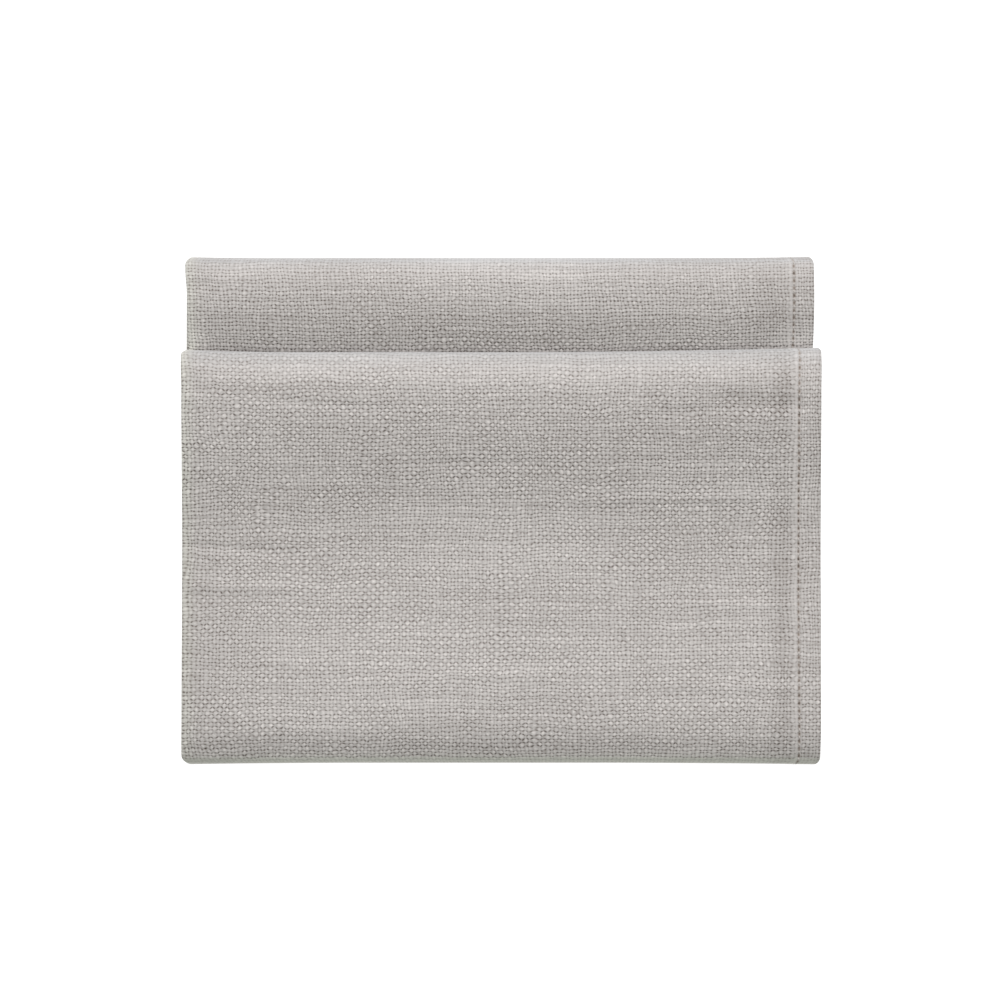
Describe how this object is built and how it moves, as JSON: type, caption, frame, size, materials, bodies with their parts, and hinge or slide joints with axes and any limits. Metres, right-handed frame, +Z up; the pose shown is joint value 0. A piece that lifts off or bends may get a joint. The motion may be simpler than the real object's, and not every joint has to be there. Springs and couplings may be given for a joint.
{
  "type": "folded cloth napkin",
  "caption": "Plain woven cloth napkin folded into a flat stepped rectangle, a narrow rear strip showing behind the front panel, with stitched hems along one side.",
  "frame": {"origin": "middle of the folded napkin's outline, on the surface it lies on", "axes": "+X along the folds towards the hemmed side, +Y towards the rear strip, +Z up from the surface"},
  "size_m": [0.225, 0.1794, 0.0151],
  "materials": {
    "linen": "matt, coarse slubby plain weave"
  },
  "bodies": {
    "root": {"napkin": "linen"}
  },
  "joints": []
}
